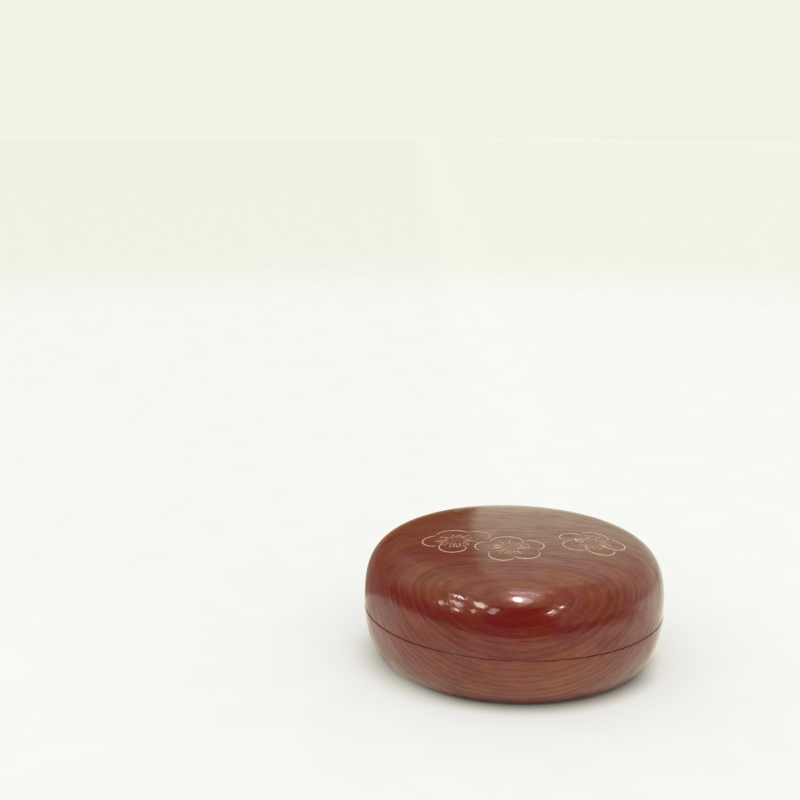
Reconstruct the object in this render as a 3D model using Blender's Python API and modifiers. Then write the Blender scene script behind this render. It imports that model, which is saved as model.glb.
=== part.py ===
"""A turned wooden incense box: a shallow bowl and the loose lid that fits over its inner lip.

Sizes are in metres, with +Z up. The box stands on the origin, which is at the middle of its
underside. Each piece is one profile, drawn at +X and turned round the Z axis.
"""

import bisect
import math

import bpy

# Outside of the closed box
BODY_DIAMETER = 0.077
BOWL_HEIGHT = 0.01325
LID_HEIGHT = 0.019
LID_CROWN = 0.0016
SIDE_CURVE_INSET = 0.007

# How square the outside curves are, where 2 is an ellipse and more is squarer
LID_SIDE_POWER = 6.46
LID_TOP_POWER = 3.32
BOWL_SIDE_POWER = 2.42
BOWL_FOOT_POWER = 1.75

# Flat seat that carries the lid's rim, and the lip that stands inside it
SEAT_WIDTH = 0.0023
LIP_THICKNESS = 0.0019
LIP_HEIGHT = 0.0034
LIP_ROUND = 0.0005
RIM_ROUND = 0.0002

# Gaps between the two pieces
SEAM_GAP = 0.0003
LIP_CLEARANCE = 0.0003

# Thickness above and below the hollow
BOWL_FLOOR = 0.004
LID_ROOF = 0.0038

# Underside
FOOT_RING_WIDTH = 0.005
FOOT_RECESS_DEPTH = 0.0006

# Facets
LATHE_STEPS = 64
OUTSIDE_STEPS = 14
INSIDE_STEPS = 9
ROUND_STEPS = 2
FINE_STEPS = 400
MERGE_DISTANCE = 0.00001
SHARP_ANGLE = math.radians(50)

# Finish, as linear colour
LID_COLOUR = (0.22, 0.055, 0.035, 1.0)
BOWL_COLOUR = (0.19, 0.05, 0.03, 1.0)
LACQUER_ROUGHNESS = 0.12

body_radius = BODY_DIAMETER / 2
wall = SEAT_WIDTH + LIP_THICKNESS
hollow_radius = body_radius - wall
lip_radius = hollow_radius + LIP_THICKNESS
foot_radius = body_radius - SIDE_CURVE_INSET


def squared_point(angle, across_power, up_power):
    """A point on a squared quarter ellipse of unit size: angle 0 is its top, a right angle its side."""
    across = math.sin(angle) ** (2 / across_power)
    up = math.cos(angle) ** (2 / up_power)
    return across, up


def angle_at(up, up_power):
    """The angle at which squared_point is this far up."""
    return math.acos(up ** (up_power / 2))


def follow(curve, last_angle, steps):
    """Points along a curve from angle 0 to the last angle, closer together where it bends."""
    fine = [curve(last_angle * (index / FINE_STEPS) ** 2) for index in range(FINE_STEPS + 1)]
    pairs = list(zip(fine, fine[1:]))
    lengths = [math.dist(start, end) for start, end in pairs]
    headings = [math.atan2(end[1] - start[1], end[0] - start[0]) for start, end in pairs]
    bends = [0.0] + [abs(after - before) for before, after in zip(headings, headings[1:])]
    whole_length = sum(lengths)
    whole_bend = sum(bends)
    travelled = [0.0]
    for length, bend in zip(lengths, bends):
        travelled.append(travelled[-1] + length / whole_length + bend / whole_bend)
    goals = [travelled[-1] * step / steps for step in range(steps)]
    return [fine[bisect.bisect_left(travelled, goal)] for goal in goals] + [fine[-1]]


def rounded(centre_radius, centre_height, size, first_angle):
    """Points on a clockwise quarter round, from the angle given, as seen with +X to the right."""
    points = []
    for step in range(ROUND_STEPS + 1):
        angle = first_angle - math.pi / 2 * step / ROUND_STEPS
        radius = centre_radius + size * math.cos(angle)
        height = centre_height + size * math.sin(angle)
        points.append((radius, height))
    return points


def lid_outside(angle):
    """Outside of the lid above its rim: a squared curve with a slight crown."""
    across, up = squared_point(angle, LID_SIDE_POWER, LID_TOP_POWER)
    height = (LID_HEIGHT - LID_CROWN) * up + LID_CROWN * (1 - across ** 2)
    return body_radius * across, height


def lid_inside(angle):
    """Inside of the lid above its rim: the same squared curve under a flat roof."""
    across, up = squared_point(angle, LID_SIDE_POWER, LID_TOP_POWER)
    return hollow_radius * across, (LID_HEIGHT - LID_ROOF) * up


def bowl_outside(angle):
    """Outside of the bowl, from the edge of its foot up to the seat."""
    across, down = squared_point(angle, BOWL_SIDE_POWER, BOWL_FOOT_POWER)
    return foot_radius + SIDE_CURVE_INSET * across, BOWL_HEIGHT * (1 - down)


def bowl_inside(angle):
    """Inside of the bowl, a wall's thickness in from the outside, from the floor up to the seat."""
    across, down = squared_point(angle, BOWL_SIDE_POWER, BOWL_FOOT_POWER)
    floor_radius = foot_radius - wall
    height = BOWL_HEIGHT - (BOWL_HEIGHT - BOWL_FLOOR) * down
    return floor_radius + SIDE_CURVE_INSET * across, height


def lid_profile():
    """The lid from the top of its crown, down the outside, round the rim and up the inside."""
    rebate_radius = lip_radius + LIP_CLEARANCE
    rebate_height = LIP_HEIGHT - SEAM_GAP + LIP_CLEARANCE
    rim_angle = angle_at(RIM_ROUND / (LID_HEIGHT - LID_CROWN), LID_TOP_POWER)
    outside = follow(lid_outside, rim_angle, OUTSIDE_STEPS)
    outer_edge = rounded(body_radius - RIM_ROUND, RIM_ROUND, RIM_ROUND, 0.0)
    inner_edge = rounded(rebate_radius + RIM_ROUND, RIM_ROUND, RIM_ROUND, -math.pi / 2)
    rebate_corner = [(rebate_radius, rebate_height)]
    rebate_angle = angle_at(rebate_height / (LID_HEIGHT - LID_ROOF), LID_TOP_POWER)
    inside = follow(lid_inside, rebate_angle, INSIDE_STEPS)
    return outside + outer_edge[1:] + inner_edge + rebate_corner + inside[::-1]


def bowl_profile():
    """The bowl from the middle of its floor, up over the lip, down the outside and under the foot."""
    lip_top = BOWL_HEIGHT + LIP_HEIGHT
    floor_centre = [(0.0, BOWL_FLOOR)]
    inside = follow(bowl_inside, math.pi / 2, INSIDE_STEPS)
    lip_inner_edge = rounded(hollow_radius + LIP_ROUND, lip_top - LIP_ROUND, LIP_ROUND, math.pi)
    lip_outer_edge = rounded(lip_radius - LIP_ROUND, lip_top - LIP_ROUND, LIP_ROUND, math.pi / 2)
    seat_corner = [(lip_radius, BOWL_HEIGHT)]
    seat_edge = rounded(body_radius - RIM_ROUND, BOWL_HEIGHT - RIM_ROUND, RIM_ROUND, math.pi / 2)
    seat_angle = angle_at(RIM_ROUND / BOWL_HEIGHT, BOWL_FOOT_POWER)
    outside = follow(bowl_outside, seat_angle, OUTSIDE_STEPS)
    ring_radius = foot_radius - FOOT_RING_WIDTH
    recess = [
        (ring_radius, 0.0),
        (ring_radius - FOOT_RECESS_DEPTH, FOOT_RECESS_DEPTH),
        (0.0, FOOT_RECESS_DEPTH),
    ]
    lip = lip_inner_edge + lip_outer_edge + seat_corner
    return floor_centre + inside + lip + seat_edge[:-1] + outside[::-1] + recess


def lacquer(name, colour):
    """Glossy transparent lacquer over wood, as one plain colour."""
    material = bpy.data.materials.new(name)
    material.use_nodes = True
    shader = material.node_tree.nodes["Principled BSDF"]
    shader.inputs["Base Color"].default_value = colour
    shader.inputs["Roughness"].default_value = LACQUER_ROUGHNESS
    shader.inputs["Metallic"].default_value = 0.0
    material.diffuse_color = colour
    return material


def turn(name, profile, material, collection):
    """Turn a profile round the Z axis, and keep hard corners sharp in the smooth shading."""
    points = [(radius, 0.0, height) for radius, height in profile]
    edges = [(index, index + 1) for index in range(len(points) - 1)]
    outline = bpy.data.meshes.new(name + "_profile")
    outline.from_pydata(points, edges, [])
    piece = bpy.data.objects.new(name, outline)
    collection.objects.link(piece)
    screw = piece.modifiers.new("Lathe", "SCREW")
    screw.axis = "Z"
    screw.angle = math.tau
    screw.steps = LATHE_STEPS
    screw.render_steps = LATHE_STEPS
    screw.use_merge_vertices = True
    screw.merge_threshold = MERGE_DISTANCE
    evaluated = piece.evaluated_get(bpy.context.evaluated_depsgraph_get())
    solid = bpy.data.meshes.new_from_object(evaluated)
    solid.name = name
    piece.modifiers.clear()
    piece.data = solid
    bpy.data.meshes.remove(outline)
    solid.shade_smooth()
    solid.set_sharp_from_angle(angle=SHARP_ANGLE)
    solid.materials.append(material)
    return piece


def main():
    for old in list(bpy.data.objects):
        bpy.data.objects.remove(old, do_unlink=True)
    collection = bpy.data.collections.new("incense_box")
    bpy.context.scene.collection.children.link(collection)
    underside = bpy.data.objects.new("incense_box", None)
    collection.objects.link(underside)
    bowl = turn("base", bowl_profile(), lacquer("base_lacquer", BOWL_COLOUR), collection)
    bowl.parent = underside
    lid = turn("lid", lid_profile(), lacquer("lid_lacquer", LID_COLOUR), collection)
    lid.parent = underside
    lid.location.z = BOWL_HEIGHT + SEAM_GAP


main()
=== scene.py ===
"""Looks of a turned wooden incense box: clear red lacquer over fine grain, gold blossoms on the lid.

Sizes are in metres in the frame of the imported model, with +Z up and -Y towards the viewer.
"""

import math
import random

import bmesh
import bpy
from bpy.props import FloatProperty, FloatVectorProperty, IntProperty, PointerProperty
from mathutils import Matrix, Vector


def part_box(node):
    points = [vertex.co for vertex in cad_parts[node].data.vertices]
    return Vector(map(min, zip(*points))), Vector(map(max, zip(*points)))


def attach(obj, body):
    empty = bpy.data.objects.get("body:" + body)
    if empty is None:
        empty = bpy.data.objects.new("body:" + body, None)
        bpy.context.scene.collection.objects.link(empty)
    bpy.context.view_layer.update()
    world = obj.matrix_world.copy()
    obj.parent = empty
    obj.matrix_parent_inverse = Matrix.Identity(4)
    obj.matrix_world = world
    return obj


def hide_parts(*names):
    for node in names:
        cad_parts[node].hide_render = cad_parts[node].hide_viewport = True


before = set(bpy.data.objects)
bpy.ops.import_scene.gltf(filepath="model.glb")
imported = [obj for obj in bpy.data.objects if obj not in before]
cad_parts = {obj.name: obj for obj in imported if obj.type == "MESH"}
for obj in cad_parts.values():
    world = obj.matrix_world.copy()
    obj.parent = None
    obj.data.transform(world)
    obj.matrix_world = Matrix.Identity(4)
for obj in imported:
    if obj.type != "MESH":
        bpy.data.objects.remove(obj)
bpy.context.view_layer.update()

bl_info = {
    "name": "Lacquered Incense Box",
    "version": (1, 0, 0),
    "blender": (4, 5, 0),
    "location": "View3D > Sidebar > Incense Box",
    "description": "Turned lid and base in red lacquer over grain, with gold blossoms on the lid",
    "category": "Object",
}

_, base_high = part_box("base")
lid_low, lid_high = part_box("lid")

SEAM_GAP = 0.0003
LIP_CLEARANCE = 0.0003


# Settings


def maker(kind, **traits):
    """A function that makes settings of one kind, with the traits that they share."""

    def setting(name, description, default):
        return kind(name=name, description=description, default=default, **traits)

    return setting


number = maker(FloatProperty)
metres = maker(FloatProperty, unit="LENGTH")
radians = maker(FloatProperty, unit="ROTATION")
whole = maker(IntProperty)
tint = maker(FloatVectorProperty, subtype="COLOR", size=3)
spot = maker(FloatVectorProperty, subtype="XYZ", unit="LENGTH", size=3)
flat_spot = maker(FloatVectorProperty, unit="LENGTH", size=2)


class BoxSizes(bpy.types.PropertyGroup):
    """Turned shape of the two pieces"""

    radius: metres("Radius", "Widest radius, at the seam", (lid_high.x - lid_low.x) / 2)
    rim: metres("Lid rim height", "Height of the lid's rim above the underside", lid_low.z)
    lid_height: metres("Lid height", "From the lid's rim to the top of its crown", lid_high.z - lid_low.z)
    crown: metres("Crown", "How much the middle of the lid's top stands above its shoulder", 0.0016)
    lid_side_power: number(
        "Lid side squareness", "How squarely the lid's top runs out to its side, where 2 is an ellipse", 6.46)
    lid_top_power: number(
        "Lid top squareness", "How squarely the lid's side runs up to its top, where 2 is an ellipse", 3.32)
    bowl_side_power: number(
        "Bowl side squareness", "How squarely the bowl's side runs down, where 2 is an ellipse", 2.42)
    bowl_foot_power: number(
        "Bowl foot squareness", "How squarely the bowl's side turns in to its foot, where 2 is an ellipse",
        1.75)
    side_inset: metres("Foot inset", "How far the foot's edge lies in from the widest radius", 0.007)
    seat_width: metres("Seat width", "Flat seat round the lip, which carries the lid's rim", 0.0023)
    lip_thickness: metres("Lip thickness", "Upstanding lip inside the seat", 0.0019)
    lip_height: metres(
        "Lip height", "From the seat to the top of the lip", base_high.z - lid_low.z + SEAM_GAP)
    floor: metres("Floor thickness", "Wood under the hollow", 0.004)
    roof: metres("Roof thickness", "Wood over the hollow, at the middle of the lid", 0.0038)
    foot_ring: metres("Foot ring width", "Flat ring that the box stands on", 0.005)
    foot_recess: metres("Foot recess depth", "Shallow turned recess inside the foot ring", 0.0006)
    lip_round: metres("Lip rounding", "Rounding of the lip's top edges", 0.0005)
    rim_round: metres("Rim rounding", "Rounding of the edges at the seam", 0.0002)
    rim_reach: metres(
        "Rim reach", "How far the lid's rim reaches down into the gap, so that the seam looks closed",
        0.00014)
    rim_slope: metres(
        "Rim slope", "How much lower the lid's rim lies at the front than halfway to the back", 0.00009)
    sides: whole("Sides", "Facets round the box", 256)


class WoodLook(bpy.types.PropertyGroup):
    """Grain and lacquer"""

    pith: spot("Ring centre", "A point on the line that the growth rings run round", (0.0, -0.0962, 0.0811))
    pith_slant: number(
        "Ring slant", "How far the rings' centre line moves back for each metre to the left", 0.064)
    ring_width: metres("Ring width", "Distance between growth rings", 0.00132)
    fibre_length: metres("Fibre length", "Length of the fine streaks along the grain", 0.0024)
    fibre_width: metres("Fibre width", "Width of the fine streaks along the grain", 0.00022)
    dark: tint("Dark wood", "Red lacquer over the darkest grain", (0.105, 0.003, 0.004))
    middle: tint("Middle wood", "Red lacquer over most of the wood", (0.172, 0.007, 0.008))
    light: tint("Light wood", "Red lacquer over the lightest grain", (0.240, 0.023, 0.016))
    relief: metres("Grain relief", "How deep the grain shows in the gloss", 0.000020)


class BlossomSizes(bpy.types.PropertyGroup):
    """Gold outline blossoms"""

    left: flat_spot("Left blossom", "Middle of the left blossom, seen from above", (-0.0154, -0.0068))
    centre: flat_spot("Centre blossom", "Middle of the front blossom, seen from above", (-0.0023, -0.0122))
    right: flat_spot("Right blossom", "Middle of the right blossom, seen from above", (0.0187, -0.0067))
    reach: metres("Blossom radius", "From a blossom's middle to the tip of a petal", 0.0087)
    line_width: metres("Line width", "Width of the drawn outline", 0.00034)
    line_height: metres("Line height", "How far the gold stands proud of the lacquer", 0.00004)
    stamens: whole("Stamens", "Fine strokes round the middle of a blossom", 24)
    gold: tint("Gold", "Colour of the gold powder", (0.92, 0.67, 0.56))
    stamen_gold: tint("Stamen gold", "Colour of the thinner gold of the stamens", (0.86, 0.65, 0.47))
    specks: whole("Specks", "Specks of loose powder inside a blossom", 560)


class StageLook(bpy.types.PropertyGroup):
    """Floor, lights and camera"""

    floor_colour: tint("Floor", "Colour of the plain floor", (0.895, 0.908, 0.895))
    far_floor_colour: tint("Far floor", "Colour of the floor far from the box", (0.860, 0.860, 0.785))
    floor_share: number("Floor share", "Share of the light that the floor throws back", 0.56)
    floor_glow: number("Floor glow", "Light that the floor gives off itself", 0.50)
    mirrored_glow: number("Mirrored glow", "Light of the floor as the lacquer mirrors it", 0.56)
    mirrored_floor: tint("Mirrored floor", "Tint of the floor as the lacquer mirrors it", (0.90, 0.87, 0.64))
    shade_colour: tint("Shade", "Colour that the lacquer mirrors round the pale floor", (0.09, 0.045, 0.015))
    left_shade: tint(
        "Left shade", "Warm brown that the lacquer mirrors on the far left", (0.26, 0.125, 0.035))
    camera_place: spot("Camera place", "Where the camera stands", (-0.0299, -0.3552, 0.1478))
    camera_pitch: radians("Camera pitch", "How far the camera looks down", math.radians(12.84))
    camera_roll: radians("Camera roll", "How far the camera leans to its left", math.radians(0.56))
    camera_lens: number("Focal length", "Lens on a sensor 36 mm wide, in millimetres", 65.25)
    room_colour: tint("Room colour", "Tint of the room as the lacquer mirrors it", (0.97, 0.96, 0.70))
    fill_colour: tint("Fill light", "Even light from the whole room", (0.84, 0.84, 0.80))
    back_colour: tint("Back", "Colour of the room behind the floor", (0.885, 0.878, 0.783))
    low_light: number("Low light", "Brightness of the room near the floor, as the lacquer mirrors it", 0.85)
    high_light: number("High light", "Brightness of the room overhead, as the lacquer mirrors it", 1.2)
    soft: number("Soft light", "Strength of the broad soft light from above the camera", 0.7)
    lamp_colour: tint("Lamp colour", "Colour of the small lamps that the lacquer mirrors", (0.91, 0.84, 1.0))
    lamp: number("Lamp brightness", "Brightness of the small lamps that the lacquer mirrors", 11.0)


class IncenseBoxSettings(bpy.types.PropertyGroup):
    """All settings of the incense box"""

    box: PointerProperty(type=BoxSizes)
    wood: PointerProperty(type=WoodLook)
    blossom: PointerProperty(type=BlossomSizes)
    stage: PointerProperty(type=StageLook)


def settings():
    """The user's sizes and colours."""
    return bpy.context.scene.incense_box


# Turned shapes

# Steps in which a curve is measured, and the steps kept of each curve and rounded edge
MEASURING_STEPS = 1200
LID_STEPS = 84
BOWL_STEPS = 56
HOLLOW_STEPS = 36
EDGE_STEPS = 4

SHARP_ANGLE = math.radians(50)

# Finishes of a turned piece, in the order of its materials
OUTSIDE, INSIDE, UNDERSIDE = range(3)


def squared_point(angle, across_power, up_power):
    """A point on a squared quarter ellipse of unit size: angle 0 is its top, a right angle its side."""
    across = math.sin(angle) ** (2 / across_power)
    up = math.cos(angle) ** (2 / up_power)
    return across, up


def angle_at(up, up_power):
    """The angle at which squared_point is this far up."""
    return math.acos(up ** (up_power / 2))


def point_from(middle, away, angle):
    """A point at a distance and in a direction from a middle."""
    return middle[0] + away * math.cos(angle), middle[1] + away * math.sin(angle)


def follow(curve, last_angle, steps):
    """Points along a curve from angle 0 to the last angle, closer together where it bends."""
    shares = [(index / MEASURING_STEPS) ** 2 for index in range(MEASURING_STEPS + 1)]
    fine = [curve(last_angle * share) for share in shares]
    pairs = list(zip(fine, fine[1:]))
    lengths = [math.dist(start, end) for start, end in pairs]
    headings = [math.atan2(end[1] - start[1], end[0] - start[0]) for start, end in pairs]
    bends = [0.0] + [abs(after - before) for before, after in zip(headings, headings[1:])]
    whole_length = sum(lengths)
    whole_bend = sum(bends)
    points = [fine[0]]
    travelled = 0.0
    for point, length, bend in zip(fine[1:], lengths, bends):
        travelled += (length / whole_length + bend / whole_bend) / 2
        if travelled * steps >= len(points):
            points.append(point)
    if points[-1] != fine[-1]:
        points.append(fine[-1])
    return points


def rounded(centre_radius, centre_height, size, first_angle):
    """Points on a clockwise quarter round, from the angle given, as seen with +X to the right."""
    angles = [first_angle - math.pi / 2 * step / EDGE_STEPS for step in range(EDGE_STEPS + 1)]
    return [point_from((centre_radius, centre_height), size, angle) for angle in angles]


def lid_top_at(sizes, radius):
    """Height of the lid's outside above its rim, at a distance from the axis."""
    across = radius / sizes.radius
    squared = (1 - across ** sizes.lid_side_power) ** (1 / sizes.lid_top_power)
    return (sizes.lid_height - sizes.crown) * squared + sizes.crown * (1 - across ** 2)


def lid_runs(sizes):
    """The lid's profile as runs of points, each with the number of its finish, from the crown on."""
    rim = -sizes.rim_reach
    hollow = sizes.radius - sizes.seat_width - sizes.lip_thickness
    rebate_radius = hollow + sizes.lip_thickness + LIP_CLEARANCE
    rebate_height = sizes.lip_height - SEAM_GAP + LIP_CLEARANCE
    edge = sizes.rim_round
    powers = (sizes.lid_side_power, sizes.lid_top_power)

    def outside(angle):
        across, up = squared_point(angle, *powers)
        height = (sizes.lid_height - sizes.crown) * up + sizes.crown * (1 - across ** 2)
        return sizes.radius * across, height

    def inside(angle):
        across, up = squared_point(angle, *powers)
        return hollow * across, (sizes.lid_height - sizes.roof) * up

    rim_angle = angle_at(edge / (sizes.lid_height - sizes.crown), sizes.lid_top_power)
    rebate_angle = angle_at(rebate_height / (sizes.lid_height - sizes.roof), sizes.lid_top_power)
    outer = follow(outside, rim_angle, LID_STEPS)
    # the rounded edges at the seam take the inside lacquer, darker and duller: partly a painted shade along
    # the seam, partly a gloss that spreads its glints
    rim_run = rounded(sizes.radius - edge, rim + edge, edge, 0.0)
    rim_run += rounded(rebate_radius + edge, rim + edge, edge, -math.pi / 2)
    rim_run += [(rebate_radius, rebate_height)]
    inner = follow(inside, rebate_angle, HOLLOW_STEPS)[::-1]
    return [(outer, OUTSIDE), (rim_run, INSIDE), (inner, INSIDE)]


def base_runs(sizes):
    """The base's profile as runs of points, each with the number of its finish, from its floor on."""
    seat = sizes.rim - SEAM_GAP
    wall = sizes.seat_width + sizes.lip_thickness
    hollow = sizes.radius - wall
    lip_radius = hollow + sizes.lip_thickness
    lip_top = seat + sizes.lip_height
    foot = sizes.radius - sizes.side_inset
    edge = sizes.rim_round
    soft = sizes.lip_round
    powers = (sizes.bowl_side_power, sizes.bowl_foot_power)

    def outside(angle):
        across, down = squared_point(angle, *powers)
        return foot + sizes.side_inset * across, seat * (1 - down)

    def inside(angle):
        across, down = squared_point(angle, *powers)
        return foot - wall + sizes.side_inset * across, seat - (seat - sizes.floor) * down

    inner = [(0.0, sizes.floor)] + follow(inside, math.pi / 2, HOLLOW_STEPS)
    lip = rounded(hollow + soft, lip_top - soft, soft, math.pi)
    lip += rounded(lip_radius - soft, lip_top - soft, soft, math.pi / 2)
    lip += [(lip_radius, seat)]
    # the seat's rounded outer edge takes the inside lacquer, darker and duller: partly a painted shade along
    # the seam, partly a gloss that spreads its glints
    lip += rounded(sizes.radius - edge, seat - edge, edge, math.pi / 2)
    outer = follow(outside, angle_at(edge / seat, sizes.bowl_foot_power), BOWL_STEPS)[:-1][::-1]
    ring = foot - sizes.foot_ring
    under = [(ring, 0.0), (ring - sizes.foot_recess, sizes.foot_recess), (0.0, sizes.foot_recess)]
    return [(inner, INSIDE), (lip, INSIDE), (outer, OUTSIDE), (under, UNDERSIDE)]


def add_object(name, data):
    """A new object in the scene."""
    added = bpy.data.objects.new(name, data)
    bpy.context.scene.collection.objects.link(added)
    return added


def new_piece(name, shape, materials):
    """A smooth object from a drawn shape, with its materials."""
    mesh = bpy.data.meshes.new(name)
    shape.to_mesh(mesh)
    shape.free()
    mesh.shade_smooth()
    for material in materials:
        mesh.materials.append(material)
    return add_object(name, mesh)


def turned_piece(name, runs, sides, lift, materials):
    """Turn runs of profile points round the Z axis, with a material for each run."""
    points = []
    finishes = []
    for run, finish in runs:
        points += run
        finishes += [finish] * len(run)
    shape = bmesh.new()
    rings = []
    for radius, height in points:
        turns = [math.tau * index / sides for index in range(sides if radius > 0 else 1)]
        places = [(radius * math.cos(turn), radius * math.sin(turn), height + lift) for turn in turns]
        rings.append([shape.verts.new(place) for place in places])
    for upper, lower, finish in zip(rings, rings[1:], finishes[1:]):
        for index in range(sides):
            around = ((upper, index), (lower, index), (lower, index + 1), (upper, index + 1))
            # a point on the axis counts once
            corners = dict.fromkeys(ring[place % len(ring)] for ring, place in around)
            shape.faces.new(tuple(corners)).material_index = finish
    piece = new_piece(name, shape, materials)
    piece.data.set_sharp_from_angle(angle=SHARP_ANGLE)
    return piece


# Materials


class Nodes:
    """Adds and joins the nodes of one material or world, after clearing those it had."""

    def __init__(self, owner):
        owner.use_nodes = True
        self.tree = owner.node_tree
        self.tree.nodes.clear()
        self.measures = {}

    def fill(self, node, inputs):
        """Link a node's inputs, by name or number, to outputs, or set their own values."""
        for key, value in inputs.items():
            if isinstance(value, bpy.types.NodeSocket):
                self.tree.links.new(value, node.inputs[key])
            else:
                node.inputs[key].default_value = value

    def new(self, kind):
        """A new node of the kind given."""
        return self.tree.nodes.new("ShaderNode" + kind)

    def add(self, kind, inputs=None, output=0, **values):
        """Add a node, set its properties, fill its inputs, and return one output."""
        node = self.new(kind)
        for key, value in values.items():
            setattr(node, key, value)
        self.fill(node, inputs or {})
        return node.outputs[output]

    def show(self, kind, surface):
        """Add the output node of the kind given, which shows a surface."""
        self.fill(self.new(kind), {"Surface": surface})

    def place(self):
        """The place of a point in the frame of the model."""
        return self.add("TexCoord", output="Object")

    def split(self, vector):
        """The three parts of a vector."""
        node = self.new("SeparateXYZ")
        self.fill(node, {0: vector})
        return node.outputs

    def length(self, vector):
        """The length of a vector."""
        return self.add("VectorMath", {0: vector}, output="Value", operation="LENGTH")

    def stretched(self, vector, scale):
        """A vector with each part multiplied by that of a scale."""
        return self.add("VectorMath", {0: vector, 1: scale}, operation="MULTIPLY")

    def math(self, operation, *values):
        """One operation on one to three values."""
        return self.add("Math", dict(enumerate(values)), operation=operation)

    def times(self, first, *others):
        """The product of all values."""
        for other in others:
            first = self.math("MULTIPLY", first, other)
        return first

    def most(self, first, *others):
        """The greatest of all values."""
        for other in others:
            first = self.math("MAXIMUM", first, other)
        return first

    def left_over(self, share):
        """What a share leaves of one."""
        return self.math("SUBTRACT", 1.0, share)

    def sway(self, level, value, weight):
        """A level moved, by a weight, by how far a value lies from one half."""
        return self.math("MULTIPLY_ADD", self.math("SUBTRACT", value, 0.5), weight, level)

    def step(self, value, low, high, start=0.0, end=1.0):
        """A smooth step of a value between two limits."""
        inputs = {"Value": value, "From Min": low, "From Max": high, "To Min": start, "To Max": end}
        return self.add("MapRange", inputs, interpolation_type="SMOOTHSTEP")

    def part(self, row):
        """A strength that comes up smoothly between two limits of each measure that its row names."""
        strength, *limits = row
        for name, start, full in limits:
            strength = self.times(self.step(self.measures[name], start, full), strength)
        return strength

    def mix(self, share, first, second, blend="MIX"):
        """Mix two colours, whose sockets share their names with others and so go by number."""
        inputs = {0: share, 6: first, 7: second}
        return self.add("Mix", inputs, output=2, data_type="RGBA", blend_type=blend)

    def noise(self, vector, row):
        """Noise over a vector, with its stretch, scale, detail and roughness from a row."""
        stretch, scale, detail, roughness = row
        place = self.stretched(vector, stretch)
        inputs = {"Vector": place, "Scale": scale, "Detail": detail, "Roughness": roughness}
        return self.add("TexNoise", inputs)


def opaque(colour, share=1.0):
    """A share of a colour, as four numbers."""
    return (*[channel * share for channel in colour], 1.0)


def new_material(name):
    """A material with its shader, and a helper for its other nodes."""
    material = bpy.data.materials.new(name)
    nodes = Nodes(material)
    shader = nodes.new("BsdfPrincipled")
    nodes.show("OutputMaterial", shader.outputs[0])
    return material, nodes, shader


# Noises in the wood: stretch of their place, scale, detail and roughness
EVEN = (1.0, 1.0, 1.0)
DRIFTS = ((0.35, 1.0, 1.0), 70.0, 2.0, 0.5)
FIBRES = (EVEN, 1.0, 3.0, 0.62)
PORES = ((2.4, 1.3, 1.6), 1.0, 1.0, 0.5)
RIDGES = ((0.35, 0.5, 0.35), 1.0, 1.0, 0.5)
BANDS = ((0.25, 0.105, 0.16), 1.0, 3.0, 0.68)
PATCHES = ((0.5, 1.0, 1.0), 95.0, 2.0, 0.5)
HUES = ((0.7, 1.0, 1.0), 150.0, 3.0, 0.5)
RINGS = {"Scale": 0.5, "Detail": 3.0, "Roughness": 0.75}

# Growth rings: their drift in ring widths, the seed of their strengths, the shares of a ring over which
# its dark line comes and goes, its strength's range and least, and fibres for each radian round them
RING_DRIFT = 1.3
RING_SEED = 61.0
LINE_COMES = (0.1, 0.7)
LINE_GOES = (1.0, 0.72)
LINE_STRENGTH = (0.65, 0.35)
FIBRES_ROUND = 90.0


def grain(nodes, look):
    """Solid wood, each 0 to 1: tone, dark ring lines, fibres, pores, and ridges and bands in the gloss."""
    place = nodes.place()
    x, y, z = nodes.split(place)
    away_y = nodes.math("SUBTRACT", nodes.math("MULTIPLY_ADD", x, look.pith_slant, y), look.pith[1])
    away_z = nodes.math("SUBTRACT", z, look.pith[2])
    distance = nodes.length(nodes.add("CombineXYZ", {1: away_y, 2: away_z}))
    turn = nodes.math("ARCTAN2", away_z, away_y)
    drift = nodes.noise(place, DRIFTS)
    wander = nodes.math("MULTIPLY_ADD", drift, RING_DRIFT * look.ring_width, distance)
    rings = nodes.times(wander, 1 / look.ring_width)
    share = nodes.math("FRACT", rings)
    number = nodes.math("ADD", nodes.math("FLOOR", rings), RING_SEED)
    strength = nodes.add("TexWhiteNoise", {"W": number}, noise_dimensions="1D")
    late = nodes.times(nodes.step(share, *LINE_COMES), nodes.step(share, *LINE_GOES))
    lines = nodes.times(late, nodes.math("MULTIPLY_ADD", strength, *LINE_STRENGTH))
    tone = nodes.add("TexNoise", {"W": rings, **RINGS}, noise_dimensions="1D")
    fibre_place = nodes.add("CombineXYZ", {
        0: nodes.times(x, 1 / look.fibre_length),
        1: nodes.times(wander, 1 / look.fibre_width),
        2: nodes.times(turn, FIBRES_ROUND),
    })
    noises = [nodes.noise(fibre_place, row) for row in (FIBRES, PORES, RIDGES, BANDS)]
    return tone, lines, *noises


# How light the wood is, from dark as 0 to light as 1: range and least of the tone, and other weights
TONE_LEVEL = (0.24, 0.41)
LINE_LEVEL = -0.19
FIBRE_LEVEL = 0.40
PATCH_LEVEL = 0.40
BAND_LEVEL = 0.30
RAMP_LOW, RAMP_MIDDLE, RAMP_HIGH = 0.15, 0.5, 0.85

# Patches of a cooler and a warmer red, and pores
HUE_EDGE = (0.35, 0.65)
COOLER = (0.97, 0.78, 1.9, 1.0)
WARMER = (1.03, 1.5, 0.8, 1.0)
PORE_EDGE = (0.60, 0.72)
PORE_SHARE = 0.5

# Heights in the relief, and weights in the coat's sheen
RIDGE_RELIEF, LINE_RELIEF, PORE_RELIEF = 1.6, -0.35, 0.25
RIDGE_SHEEN, BAND_SHEEN, FIBRE_SHEEN = 0.5, 1.2, 0.6
COAT_WEIGHT = (0.13, 0.83, 0.58, 1.0)

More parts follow.
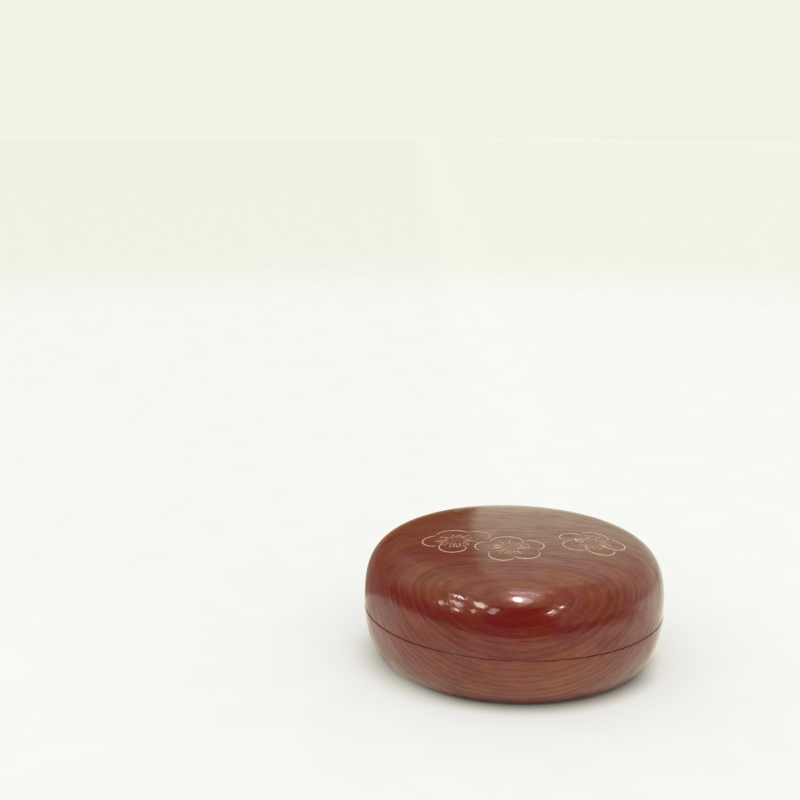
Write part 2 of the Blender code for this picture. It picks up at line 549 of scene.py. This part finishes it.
# Gloss of the wood under the coat: where its roughness varies with the fibres and by how much, and how
# its strength varies with its turn from the viewer and its lightness
BODY_FIBRES = (0.2, 0.8)
BODY_SPREAD = 0.03
BODY_TURNED = (0.25, 0.75, 0.5, 0.03)
BODY_LIGHT = (0.2, 0.8, 0.6, 1.4)
BODY_TINT = (1.0, 0.85, 0.35, 1.0)
LACQUER_IOR = 1.5


def lacquered_wood(name, look, coat, body, red=1.0):
    """Clear red lacquer over solid wood, with the roughness of its coat and of its body."""
    material, nodes, shader = new_material(name)
    tone, lines, fibres, pores, ridges, bands = grain(nodes, look)
    place = nodes.place()
    level = nodes.math("MULTIPLY_ADD", tone, *TONE_LEVEL)
    level = nodes.math("MULTIPLY_ADD", lines, LINE_LEVEL, level)
    level = nodes.sway(level, fibres, FIBRE_LEVEL)
    level = nodes.sway(level, nodes.noise(place, PATCHES), PATCH_LEVEL)
    level = nodes.sway(level, bands, BAND_LEVEL)
    ramp = nodes.new("ValToRGB")
    nodes.fill(ramp, {0: level})
    stops = ramp.color_ramp.elements
    stops[0].position = RAMP_LOW
    stops[0].color = opaque(look.dark, red)
    stops[1].position = RAMP_HIGH
    stops[1].color = opaque(look.light, red)
    stops.new(RAMP_MIDDLE).color = opaque(look.middle, red)
    hue = nodes.mix(nodes.step(nodes.noise(place, HUES), *HUE_EDGE), COOLER, WARMER)
    tinted = nodes.mix(1.0, ramp.outputs[0], hue, "MULTIPLY")
    pore_mask = nodes.step(pores, *PORE_EDGE)
    relief = nodes.math("MULTIPLY_ADD", lines, LINE_RELIEF, nodes.times(ridges, RIDGE_RELIEF))
    relief = nodes.math("SUBTRACT", relief, nodes.times(pore_mask, PORE_RELIEF))
    bump = nodes.add("Bump", {"Height": relief, "Distance": look.relief, "Strength": 1.0})
    facing = nodes.add("LayerWeight", {"Blend": 0.5}, output="Facing")
    sheen = nodes.sway(level, ridges, RIDGE_SHEEN)
    sheen = nodes.sway(sheen, bands, BAND_SHEEN)
    sheen = nodes.sway(sheen, fibres, FIBRE_SHEEN)
    nodes.fill(shader, {
        "Base Color": nodes.mix(nodes.times(pore_mask, PORE_SHARE), tinted, opaque(look.dark)),
        "Roughness": nodes.step(fibres, *BODY_FIBRES, body - BODY_SPREAD, body + BODY_SPREAD),
        "IOR": LACQUER_IOR,
        "Normal": bump,
        "Specular IOR Level": nodes.times(nodes.step(facing, *BODY_TURNED), nodes.step(level, *BODY_LIGHT)),
        "Specular Tint": BODY_TINT,
        "Coat Weight": nodes.step(sheen, *COAT_WEIGHT),
        "Coat Roughness": coat,
        "Coat IOR": LACQUER_IOR,
        "Coat Normal": bump,
    })
    return material


# Gold powder: its grains and worn places, the dull and the browned gold, and its relief and gloss
GRAINS = (EVEN, 9000.0, 2.0, 0.7)
WEAR = (EVEN, 700.0, 2.0, 0.5)
GRAIN_EDGE = (0.35, 0.65)
WEAR_EDGE = (0.5, 0.78, 0.0, 0.45)
DULL_SHARE = 0.78
BROWNED = (0.6, 0.46, 0.36)
GRAIN_RELIEF = {"Distance": 0.00001, "Strength": 0.6}
GRAIN_ROUGHNESS = (0.3, 0.7, 0.30, 0.46)
METAL_SHARE = 0.7


def gold_powder(name, gold):
    """Gold powder sprinkled on lacquer: grainy, pale and softly bright."""
    material, nodes, shader = new_material(name)
    place = nodes.place()
    grains = nodes.noise(place, GRAINS)
    worn = nodes.noise(place, WEAR)
    browned = opaque([channel * share for channel, share in zip(gold, BROWNED)])
    colour = nodes.mix(nodes.step(grains, *GRAIN_EDGE), opaque(gold, DULL_SHARE), opaque(gold))
    nodes.fill(shader, {
        "Base Color": nodes.mix(nodes.step(worn, *WEAR_EDGE), colour, browned),
        "Roughness": nodes.step(grains, *GRAIN_ROUGHNESS),
        "Metallic": METAL_SHARE,
        "Normal": nodes.add("Bump", {"Height": grains, **GRAIN_RELIEF}),
    })
    return material


# Gold blossoms

# For each blossom: its name, the setting that places it, the seed of its irregular strokes, the
# directions of its loops in degrees, and its outline strokes. A stroke is an arc: centre x and y and
# radius in millimetres, first and last angle in degrees, the share of the radius that is left at its
# first and last end, and its weight. They are drawn for a blossom of the reach below.
BLOSSOMS = (
    ("blossom_left", "left", 23, (210,), (
        (-0.6, 3.4, 4.6, 32, 160, 1.0, 1.0, 1.0),
        (-4.75, 0.4, 3.75, 96, 266, 1.02, 1.0, 1.0),
        (-0.85, -4.55, 3.5, 130, 380, 1.1, 0.72, 1.0),
        (5.4, 3.25, 3.4, -50, 124, 0.92, 1.05, 0.8),
    )),
    ("blossom_centre", "centre", 11, (132, 170, 205), (
        (-0.35, 3.75, 4.2, -16, 174, 0.93, 1.0, 1.0),
        (5.05, 1.5, 3.6, -60, 100, 0.98, 1.0, 1.0),
        (3.5, -3.85, 3.6, -142, 22, 1.0, 1.0, 1.0),
        (-1.8, -4.85, 3.72, 150, 312, 1.0, 0.88, 1.0),
        (-5.0, 0.6, 3.65, 104, 222, 1.0, 1.0, 1.0),
        (-1.0, 0.3, 5.9, -14, 24, 1.0, 1.0, 0.5),
    )),
    ("blossom_right", "right", 37, (75, 250), (
        (0.9, 3.8, 3.85, -20, 134, 0.96, 1.05, 1.0),
        (4.85, -0.2, 3.55, -140, 80, 0.62, 1.0, 1.0),
        (1.75, -4.6, 3.5, 146, 372, 1.1, 0.95, 1.0),
        (-3.85, -2.65, 3.62, 105, 303, 0.95, 0.95, 1.0),
        (-4.25, 2.75, 3.5, 42, 224, 0.84, 1.05, 1.0),
        (-6.8, 1.3, 3.1, -25, 25, 1.0, 1.0, 0.7),
    )),
)
DRAWN_REACH = 8.7

# Section of a line of gold and foot and brow of a drop, in shares of their width or radius and height
LINE_SECTION = ((-0.5, -0.5), (-0.36, 0.7), (0.0, 1.0), (0.36, 0.7), (0.5, -0.5))
DROP_FOOT = (1.0, -0.5)
DROP_BROW = (0.7, 0.8)
DROP_SIDES = 8
SPECK_SIDES = 5
SLOPE_STEP = 0.00005

# Outline strokes: degrees for each step, boldness in shares of the line width, and their thin ends
STROKE_DEGREES = 3
BOLD, SWELL, TREMBLE = 0.72, 0.36, 0.10
TREMBLE_SPEED = 13
THIN_END, THICKENING = 0.4, 8

# Stamens: start and end in shares of the blossom's reach, in turn, the luck in their direction, start,
# end and curl, and their line and drop in shares of the line width
STAMEN_RUNS = ((0.24, 0.56), (0.27, 0.42), (0.22, 0.49))
STAMEN_STEPS = 10
DIRECTION_LUCK = (-0.25, 0.25)
START_LUCK = (0.8, 1.2)
END_LUCK = (0.88, 1.08)
CURL_LUCK = (-0.3, 0.3)
CROWDING = 0.15
STAMEN_WIDTHS = (0.30, 0.42)
DROP_RADII = (0.48, 0.66)
STAMEN_HEIGHT, DROP_HEIGHT, SPECK_HEIGHT = 0.8, 1.3, 0.5

# Loops: the angle that stamens leave free on either side, distance and radius in shares of the
# blossom's reach, width in shares of the line width, and the angles at which they start and turn
LOOP_ROOM = 0.2
LOOP_PLACES = (0.36, 0.44)
LOOP_RADII = (0.09, 0.12)
LOOP_WIDTH = 0.38
LOOP_START, LOOP_TURN = 0.4, 5.4
LOOP_STEPS = 16

# Specks: how far they reach and how they crowd towards the middle, and their radii
SPECK_REACH, SPECK_CROWDING = 0.62, 0.6
SPECK_RADII = (0.00003, 0.00007)


def lid_point(sizes, x, y):
    """A point on the lid's outside and the surface's direction there."""

    def top(place_x, place_y):
        return lid_top_at(sizes, math.hypot(place_x, place_y))

    slope_x = (top(x + SLOPE_STEP, y) - top(x - SLOPE_STEP, y)) / (2 * SLOPE_STEP)
    slope_y = (top(x, y + SLOPE_STEP) - top(x, y - SLOPE_STEP)) / (2 * SLOPE_STEP)
    return Vector((x, y, top(x, y) + sizes.rim)), Vector((-slope_x, -slope_y, 1.0)).normalized()


def draw_stroke(shape, sizes, path, widths, height):
    """A line of gold along a path seen from above: a low rounded ridge on the lid."""
    rings = []
    for index, (x, y) in enumerate(path):
        before = path[max(index - 1, 0)]
        after = path[min(index + 1, len(path) - 1)]
        point, normal = lid_point(sizes, x, y)
        heading = Vector((after[0] - before[0], after[1] - before[1], 0.0))
        side = normal.cross(heading).normalized()
        ring = []
        for across, up in LINE_SECTION:
            ring.append(shape.verts.new(point + side * (across * widths[index]) + normal * (up * height)))
        rings.append(ring)
    count = len(LINE_SECTION)
    for start, end in zip(rings, rings[1:]):
        for index in range(count):
            following = (index + 1) % count
            shape.faces.new((start[following], start[index], end[index], end[following]))
    shape.faces.new(rings[0])
    shape.faces.new(rings[-1][::-1])


def draw_drop(shape, sizes, x, y, radius, height, sides=DROP_SIDES):
    """A drop of gold on the lid."""
    point, normal = lid_point(sizes, x, y)
    side = normal.cross(Vector((0.0, 1.0, 0.0))).normalized()
    other = normal.cross(side)
    foot = []
    brow = []
    for index in range(sides):
        turn = math.tau * index / sides
        outward = side * math.cos(turn) + other * math.sin(turn)
        for ring, (share, up) in ((foot, DROP_FOOT), (brow, DROP_BROW)):
            ring.append(shape.verts.new(point + outward * (radius * share) + normal * (height * up)))
    top = shape.verts.new(point + normal * height)
    for index in range(sides):
        following = (index + 1) % sides
        shape.faces.new((foot[index], foot[following], brow[following], brow[index]))
        shape.faces.new((brow[index], brow[following], top))
    shape.faces.new(foot[::-1])


def outline_stroke(middle, look, stroke, luck):
    """An outline stroke's path and its width along it: thin at both ends and bold in the middle."""
    x, y, radius, first, last, first_share, last_share, weight = stroke
    size = look.reach / DRAWN_REACH
    steps = round((last - first) / STROKE_DEGREES)
    tremble_start = luck.uniform(0, math.tau)
    path = []
    widths = []
    for step in range(steps + 1):
        share = step / steps
        turn = math.radians(first + (last - first) * share)
        # each end bends over a third of the stroke
        near_first = max(0.0, 1 - 3 * share) ** 2
        near_last = max(0.0, 3 * share - 2) ** 2
        away = radius * (1 + (first_share - 1) * near_first + (last_share - 1) * near_last)
        drawn = point_from((x, y), away, turn)
        path.append((middle[0] + size * drawn[0], middle[1] + size * drawn[1]))
        bold = BOLD + SWELL * math.sin(math.pi * share)
        bold += TREMBLE * math.sin(TREMBLE_SPEED * share + tremble_start)
        thin = min(1.0, THIN_END + THICKENING * min(share, 1 - share))
        widths.append(look.line_width * weight * bold * thin)
    return path, widths


def stamen_path(middle, angle, start, end, curl):
    """A fine stroke from near the middle of a blossom outwards, bent by a curl."""
    shares = [step / STAMEN_STEPS for step in range(STAMEN_STEPS + 1)]
    return [point_from(middle, start + (end - start) * share, angle + curl * share ** 2) for share in shares]


def loop_path(middle, away, angle, radius):
    """A small open loop, as a brush leaves at the end of a curled stroke."""
    centre = point_from(middle, away, angle)
    turns = [angle + LOOP_START + LOOP_TURN * step / LOOP_STEPS for step in range(LOOP_STEPS + 1)]
    return [point_from(centre, radius, turn) for turn in turns]


def blossom_shape(sizes, look, middle, strokes, loops, luck):
    """One blossom: its outline, stamens with their drops, small loops and specks of powder."""
    shape = bmesh.new()
    for stroke in strokes:
        path, widths = outline_stroke(middle, look, stroke, luck)
        draw_stroke(shape, sizes, path, widths, look.line_height)
    outline_faces = len(shape.faces)
    loop_angles = [math.radians(angle) for angle in loops]
    for index in range(look.stamens):
        angle = math.tau * (index + luck.uniform(*DIRECTION_LUCK)) / look.stamens
        angle += CROWDING * math.sin(2 * angle)
        start, end = STAMEN_RUNS[index % len(STAMEN_RUNS)]
        start *= look.reach * luck.uniform(*START_LUCK)
        end *= look.reach * luck.uniform(*END_LUCK)
        path = stamen_path(middle, angle, start, end, luck.uniform(*CURL_LUCK))
        width = look.line_width * luck.uniform(*STAMEN_WIDTHS)
        drop = look.line_width * luck.uniform(*DROP_RADII)
        if any(abs(math.remainder(angle - loop, math.tau)) < LOOP_ROOM for loop in loop_angles):
            continue
        draw_stroke(shape, sizes, path, [width] * len(path), look.line_height * STAMEN_HEIGHT)
        draw_drop(shape, sizes, *path[-1], drop, look.line_height * DROP_HEIGHT)
    for angle in loop_angles:
        away = look.reach * luck.uniform(*LOOP_PLACES)
        path = loop_path(middle, away, angle, look.reach * luck.uniform(*LOOP_RADII))
        widths = [look.line_width * LOOP_WIDTH] * len(path)
        draw_stroke(shape, sizes, path, widths, look.line_height * STAMEN_HEIGHT)
    for _ in range(look.specks):
        angle = luck.uniform(0, math.tau)
        away = look.reach * SPECK_REACH * luck.random() ** SPECK_CROWDING
        place = point_from(middle, away, angle)
        radius = luck.uniform(*SPECK_RADII)
        draw_drop(shape, sizes, *place, radius, look.line_height * SPECK_HEIGHT, SPECK_SIDES)
    shape.faces.ensure_lookup_table()
    for face in shape.faces[outline_faces:]:
        face.material_index = 1
    return shape


# Operators


class INCENSE_OT_lid(bpy.types.Operator):
    """Turn the lid, hollow and rebated, with its lacquer"""

    bl_idname = "incense.lid"
    bl_label = "Make Lid"

    def execute(self, context):
        box = settings().box
        look = settings().wood
        outside = lacquered_wood("lid_lacquer_outside", look, coat=0.04, body=0.15)
        inside = lacquered_wood("lid_lacquer_inside", look, coat=0.16, body=0.45, red=0.8)
        lid = turned_piece("turned_lid", lid_runs(box), box.sides, box.rim, [outside, inside])
        for corner in lid.data.vertices:
            if corner.co.z < box.rim + box.rim_round:
                corner.co.z += box.rim_slope * corner.co.y / box.radius
        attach(lid, "root")
        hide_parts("lid")
        return {"FINISHED"}


class INCENSE_OT_base(bpy.types.Operator):
    """Turn the base, with its lip, hollow and foot, and its lacquer"""

    bl_idname = "incense.base"
    bl_label = "Make Base"

    def execute(self, context):
        box = settings().box
        look = settings().wood
        outside = lacquered_wood("base_lacquer_outside", look, coat=0.05, body=0.17, red=1.05)
        inside = lacquered_wood("base_lacquer_inside", look, coat=0.16, body=0.45, red=0.8)
        under = lacquered_wood("base_lacquer_underside", look, coat=0.12, body=0.45, red=0.85)
        base = turned_piece("turned_base", base_runs(box), box.sides, 0.0, [outside, inside, under])
        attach(base, "root")
        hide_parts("base")
        return {"FINISHED"}


class INCENSE_OT_blossoms(bpy.types.Operator):
    """Draw the three gold blossoms on the lid"""

    bl_idname = "incense.blossoms"
    bl_label = "Draw Blossoms"

    def execute(self, context):
        box = settings().box
        look = settings().blossom
        outline = gold_powder("gold_outline", look.gold)
        stamens = gold_powder("gold_stamens", look.stamen_gold)
        for name, place, seed, loops, strokes in BLOSSOMS:
            luck = random.Random(seed)
            shape = blossom_shape(box, look, getattr(look, place), strokes, loops, luck)
            piece = new_piece(name, shape, [outline, stamens])
            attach(piece, "root")
        return {"FINISHED"}


class INCENSE_OT_stage(bpy.types.Operator):
    """Lay the floor, light it and place the camera"""

    bl_idname = "incense.stage"
    bl_label = "Set Stage"

    def execute(self, context):
        look = settings().stage
        for make in (make_floor, make_shade, make_room, make_lamps, make_camera):
            make(look)
        context.scene.view_settings.view_transform = "Standard"
        return {"FINISHED"}


# Stage


def flat_disc(name, radius, sides, height):
    """A flat disc round the model."""
    place = (0, 0, height)
    bpy.ops.mesh.primitive_circle_add(vertices=sides, radius=radius, fill_type="NGON", location=place)
    disc = bpy.context.object
    disc.name = name
    return disc


# Parts of the floor and of its light, as strengths that come up over distances in metres: away from
# the middle of the box, to the right along x and to the back along y
FAR_FLOOR = (1.0, ("away", 0.55, 0.85))
# Where the floor turns warmer round the box's foot: a painted warm shade
WARM_SHADE_EDGE = (1.0, ("away", 0.0430, 0.0340))
SHADOW_LEFT = (1.0, ("x", -0.012, -0.028))
SHADOW_RIGHT = (0.0018, ("x", 0.018, 0.030), ("y", -0.021, -0.010))
LIT_RIGHT = (0.22, ("x", 0.02, 0.06), ("y", -0.02, 0.03))
OPEN_LEFT = (0.0019, ("x", -0.005, -0.028), ("y", -0.006, -0.018))
TUCKED_LEFT = (-0.38, ("x", -0.024, -0.032), ("y", -0.018, -0.010), ("away", 0.052, 0.042))

# How the shadow softens on the left, where the glow comes up as it is seen and as the lacquer mirrors
# it, how the mirrored glow fades outwards, and how the glow fades in bounced light
SHADOW_SLOPE = (-0.5, 0.0193)
SEEN_EDGE = (0.0325, 0.0410)
MIRRORED_EDGE = (0.0340, 0.0384)
MIRRORED_FADE = (0.042, 0.076, 1.40, 1.02)
BOUNCED_SHARE = (-0.6, 1.0)

MOTTLE = (EVEN, 60.0, 3.0, 0.5)
MOTTLE_EDGE = (0.35, 0.65, 0.0, 0.3)
MOTTLE_TINT = (0.95, 0.95, 0.95, 1.0)
# Tint of the painted warm shade round the box's foot
WARM_SHADE_TINT = (1.0, 0.98, 0.87, 1.0)


def make_floor(look):
    """A plain pale floor that glows a little itself: a painted light that keeps its shadows faint."""
    floor = flat_disc("floor", radius=3.0, sides=128, height=-0.00002)
    material, nodes, shader = new_material("floor_pale")
    place = nodes.place()
    x, y, _ = nodes.split(place)
    away = nodes.length(place)
    nodes.measures = {"away": away, "x": x, "y": y}
    mottle = nodes.step(nodes.noise(place, MOTTLE), *MOTTLE_EDGE)
    shade = nodes.mix(nodes.part(FAR_FLOOR), opaque(look.floor_colour), opaque(look.far_floor_colour))
    shade = nodes.mix(mottle, shade, MOTTLE_TINT, "MULTIPLY")
    # a painted warm shade on the floor round the box's foot
    shade = nodes.mix(nodes.part(WARM_SHADE_EDGE), shade, WARM_SHADE_TINT, "MULTIPLY")
    thrown_back = opaque([look.floor_share] * 3)

    # the glow is taken away round the box's foot, softer on the left: a painted contact shadow
    left = nodes.times(nodes.part(SHADOW_LEFT), nodes.math("MULTIPLY_ADD", away, *SHADOW_SLOPE))
    outward = nodes.math("ADD", nodes.part(SHADOW_RIGHT), left)
    seen = nodes.step(nodes.math("ADD", away, outward), *SEEN_EDGE, 0.0, look.floor_glow)

    # a painted reflection: the lacquer's gloss sees a brighter glow of the floor, dimmed close under the bowl
    # on the left
    near = nodes.math("ADD", nodes.part(LIT_RIGHT), nodes.step(away, *MIRRORED_FADE))
    opened = nodes.math("ADD", away, nodes.part(OPEN_LEFT))
    mirrored = nodes.times(nodes.step(opened, *MIRRORED_EDGE, 0.0, look.mirrored_glow), near)
    mirrored = nodes.times(mirrored, nodes.math("ADD", nodes.part(TUCKED_LEFT), 1.0))

    glossy = nodes.add("LightPath", output="Is Glossy Ray")
    bounced = nodes.add("LightPath", output="Is Diffuse Ray")
    plain = nodes.times(seen, nodes.math("MULTIPLY_ADD", bounced, *BOUNCED_SHARE))
    plain = nodes.times(nodes.left_over(glossy), plain)
    nodes.fill(shader, {
        "Base Color": nodes.mix(1.0, shade, thrown_back, "MULTIPLY"),
        "Roughness": 0.75,
        "Specular IOR Level": 0.1,
        "Emission Color": nodes.mix(glossy, shade, opaque(look.mirrored_floor)),
        "Emission Strength": nodes.math("ADD", nodes.times(glossy, mirrored), plain),
    })
    floor.data.materials.append(material)


# Dark parts of the sheet round the floor, as strengths that come up over distances in metres, and its
# brown part, which is the left half behind the box
SHEET_PARTS = (
    (0.85, ("y", -0.075, -0.13)),
    (0.8, ("x", -0.12, -0.24), ("y", 0.3, 0.1)),
    (0.12, ("x", -0.035, -0.07)),
    (0.62, ("x", 0.07, 0.17), ("y", 0.02, -0.06)),
    (0.8, ("x", 0.01, -0.01), ("y", 0.028, 0.042)),
    (0.28, ("x", 0.02, 0.06), ("y", 0.07, 0.25)),
    (0.34, ("x", -0.02, -0.06), ("y", -0.005, 0.030)),
)
BROWN_SHEET = (1.0, ("x", 0.01, -0.01), ("y", -0.005, 0.03))


def make_shade(look):
    """A dark sheet round the pale floor, which only the gloss of the lacquer mirrors."""
    sheet = flat_disc("shade_sheet", radius=2.8, sides=64, height=0.0005)
    material = bpy.data.materials.new("shade")
    nodes = Nodes(material)
    x, y, _ = nodes.split(nodes.place())
    nodes.measures = {"x": x, "y": y}
    share = nodes.most(*map(nodes.part, SHEET_PARTS))
    brown = nodes.part(BROWN_SHEET)
    colour = nodes.mix(brown, opaque(look.shade_colour), opaque(look.left_shade))
    clear = nodes.add("BsdfTransparent")
    dark = nodes.add("Emission", {"Color": colour, "Strength": 1.0})
    nodes.show("OutputMaterial", nodes.add("MixShader", {0: share, 1: clear, 2: dark}))
    sheet.data.materials.append(material)
    sheet.visible_camera = False
    sheet.visible_diffuse = False
    sheet.visible_shadow = False
    sheet.visible_transmission = False


# Parts of the room as the lacquer mirrors it, as strengths that come up over a direction: up, to the
# right (side), to the back, and to the side of an edge that leans over from a height on
LEFT = ("leaning", 0.046, 0.030)
RIGHT_BACK = (("side", 0.30, 0.50), ("back", 0.40, 0.60))
SHOULDER = (1.0, *RIGHT_BACK)
BRIGHT_PARTS = (
    (0.20, *RIGHT_BACK, ("up", 0.36, 0.14)),
    (0.12, ("back", 0.85, 0.95), ("up", 0.06, 0.22), ("up", 0.44, 0.28)),
)
DARK_PARTS = (
    (1.0, ("back", -0.78, -0.95), ("up", 0.82, 0.62)),
    (0.38, ("back", 0.5, -0.3), ("up", 0.98, 0.72)),
    (0.5, ("up", 0.66, 0.82), ("up", 1.0, 0.93), ("side", 0.5, 0.9), ("back", 0.75, 0.45)),
)
DARK_RIGHT = (0.28, ("side", 0.08, 0.20), ("up", 0.30, 0.05))
DARK_LEFT = (0.84, LEFT, ("up", 0.75, 0.0))
BEHIND = (1.0, ("back", 0.35, 0.75))
BROWN_PARTS = (
    (0.85, LEFT, ("back", 0.35, 0.75), ("up", 0.95, 0.25)),
    (0.85, LEFT, ("back", 0.84, 0.97), ("up", 1.05, 0.38)),
    (0.97, LEFT, ("back", 0.84, 0.97), ("up", 0.36, 0.20)),
)
ROOM_HEIGHTS = (0.4, 1.0)
LEANS_FROM, LEANS_BY = 0.41, 0.28
LEVEL = (1.0, 1.0, 0.0)


def make_room(look):
    """A pale room: bright above and on the right, dim low on the left and on the camera's side."""
    world = bpy.data.worlds.new("pale_room")
    bpy.context.scene.world = world
    nodes = Nodes(world)
    direction = nodes.add("TexCoord", output="Generated")
    _, _, up = nodes.split(direction)
    flat = nodes.add("VectorMath", {0: nodes.stretched(direction, LEVEL)}, operation="NORMALIZE")
    side, back, _ = nodes.split(flat)
    over = nodes.most(nodes.math("SUBTRACT", up, LEANS_FROM), 0.0)
    leaning = nodes.math("ADD", side, nodes.times(over, LEANS_BY))
    nodes.measures = {"up": up, "side": side, "back": back, "leaning": leaning}

    light = nodes.step(up, *ROOM_HEIGHTS, look.low_light, look.high_light)
    for part in BRIGHT_PARTS:
        light = nodes.math("ADD", nodes.part(part), light)
    bright = nodes.mix(1.0, opaque(look.room_colour), light, "MULTIPLY")

    right = nodes.times(nodes.part(DARK_RIGHT), nodes.left_over(nodes.part(SHOULDER)))
    left = nodes.times(nodes.part(DARK_LEFT), nodes.left_over(nodes.part(BEHIND)))
    dim = nodes.most(left, right, *map(nodes.part, DARK_PARTS))
    brown = nodes.most(*map(nodes.part, BROWN_PARTS))
    room = nodes.mix(dim, bright, opaque(look.shade_colour))
    room = nodes.mix(brown, room, opaque(look.left_shade))

    seen = nodes.add("LightPath", output="Is Camera Ray")
    glossy = nodes.add("LightPath", output="Is Glossy Ray")
    colour = nodes.mix(glossy, opaque(look.fill_colour), room)
    colour = nodes.mix(seen, colour, opaque(look.back_colour))
    nodes.show("OutputWorld", nodes.add("Background", {"Color": colour, "Strength": 1.0}))


# Lamps that the gloss mirrors: azimuth from the back clockwise and elevation in degrees, width and
# height as shares of their distance, twist in degrees, brightness, and how much bluer each one is
LAMPS = (
    (179, 66, 0.092, 0.28, 0, 1.75, 1.0),
    (172, 65, 0.20, 0.42, 0, 0.24, 1.5),
    (174, 70, 0.34, 0.62, 0, 0.035, 1.7),
    (149, 85, 0.17, 0.045, -8, 0.42, 1.0),
    (127, 79, 0.12, 0.040, -25, 0.34, 1.0),
    (143, 74, 0.14, 0.040, -30, 0.30, 1.0),
    (150, 68, 0.16, 0.040, -30, 0.16, 1.0),
    (25, 80, 0.22, 0.040, 0, 0.14, 1.0),
    (112, 82, 0.34, 0.40, 0, 0.055, 1.3),
    (135, 84, 0.22, 0.26, 0, 0.06, 1.3),
    (176, 51, 0.12, 0.10, 0, 0.14, 1.4),
    (-120, 49, 0.20, 0.070, -20, 1.60, 1.0),
    (-117, 25, 0.145, 0.085, -50, 0.62, 1.0),
    (-127, 33, 0.26, 0.12, -45, 0.74, 1.1),
    (-145, 41, 0.30, 0.095, -55, 1.05, 1.0),
    (143, 37, 0.115, 0.045, -120, 2.1, 0.9),
    (-131, 19, 0.110, 0.045, -50, 1.75, 0.95),
    (-159, 30, 0.22, 0.10, -90, 0.45, 1.0),
    (-144, 24, 0.11, 0.032, -60, 0.85, 0.85),
    (154, 28, 0.165, 0.060, -125, 1.35, 0.9),
)
LAMP_DISTANCE = 1.5
LAMP_TARGET = Vector((0.0, -0.034, 0.027))
SOFT_FROM = Vector((0.0, -0.80, 0.60))
SOFT_WIDTH = math.radians(100)


def make_lamps(look):
    """A broad soft light for the whole floor, and small lamps that only the gloss mirrors."""
    sky = bpy.data.lights.new("broad_soft", "SUN")
    sky.energy = look.soft
    sky.angle = SOFT_WIDTH
    soft = add_object("broad_soft", sky)
    soft.rotation_euler = SOFT_FROM.to_track_quat("Z", "Y").to_euler()
    soft.visible_glossy = False
    red, green, blue = look.lamp_colour
    for azimuth, elevation, width, height, twist, share, bluer in LAMPS:
        heading = math.radians(azimuth)
        rise = math.radians(elevation)
        flat = math.cos(rise)
        direction = Vector((flat * math.sin(heading), flat * math.cos(heading), math.sin(rise)))
        lamp = bpy.data.lights.new("mirrored_lamp", "AREA")
        lamp.shape = "ELLIPSE"
        lamp.size = width * LAMP_DISTANCE
        lamp.size_y = height * LAMP_DISTANCE
        lamp.color = (red, green, blue * bluer)
        # a lamp of brightness b and area a gives off pi times b times a
        lamp.energy = look.lamp * share * math.pi * math.pi / 4 * lamp.size * lamp.size_y
        piece = add_object("mirrored_lamp", lamp)
        facing = direction.to_track_quat("Z", "Y").to_matrix().to_4x4()
        turned = facing @ Matrix.Rotation(math.radians(twist), 4, "Z")
        piece.matrix_world = Matrix.Translation(LAMP_TARGET + direction * LAMP_DISTANCE) @ turned
        piece.visible_diffuse = False


def make_camera(look):
    """The camera, at the photograph's place and angle."""
    data = bpy.data.cameras.new("camera")
    data.lens = look.camera_lens
    data.sensor_width = 36.0
    data.clip_start = 0.01
    data.clip_end = 20.0
    camera = add_object("camera", data)
    camera.matrix_world = (
        Matrix.Translation(look.camera_place)
        @ Matrix.Rotation(math.pi / 2 - look.camera_pitch, 4, "X")
        @ Matrix.Rotation(look.camera_roll, 4, "Z")
    )
    bpy.context.scene.camera = camera


class INCENSE_PT_panel(bpy.types.Panel):
    """Settings and buttons of the incense box"""

    bl_label = "Incense Box"
    bl_idname = "INCENSE_PT_panel"
    bl_space_type = "VIEW_3D"
    bl_region_type = "UI"
    bl_category = "Incense Box"

    def draw(self, context):
        layout = self.layout
        for group in ("box", "wood", "blossom", "stage"):
            values = getattr(settings(), group)
            section = layout.box()
            section.label(text=group.capitalize())
            for name in values.bl_rna.properties.keys():
                if name not in ("rna_type", "name"):
                    section.prop(values, name)
        for operator in OPERATORS:
            layout.operator(operator.bl_idname)


OPERATORS = (INCENSE_OT_stage, INCENSE_OT_lid, INCENSE_OT_base, INCENSE_OT_blossoms)
GROUPS = (BoxSizes, WoodLook, BlossomSizes, StageLook, IncenseBoxSettings)
CLASSES = (*GROUPS, *OPERATORS, INCENSE_PT_panel)


def register():
    for each in CLASSES:
        bpy.utils.register_class(each)
    bpy.types.Scene.incense_box = PointerProperty(type=IncenseBoxSettings)


def unregister():
    del bpy.types.Scene.incense_box
    for each in reversed(CLASSES):
        bpy.utils.unregister_class(each)


def main():
    register()
    bpy.ops.incense.stage()
    bpy.ops.incense.lid()
    bpy.ops.incense.base()
    bpy.ops.incense.blossoms()


if __name__ == "__main__":
    main()
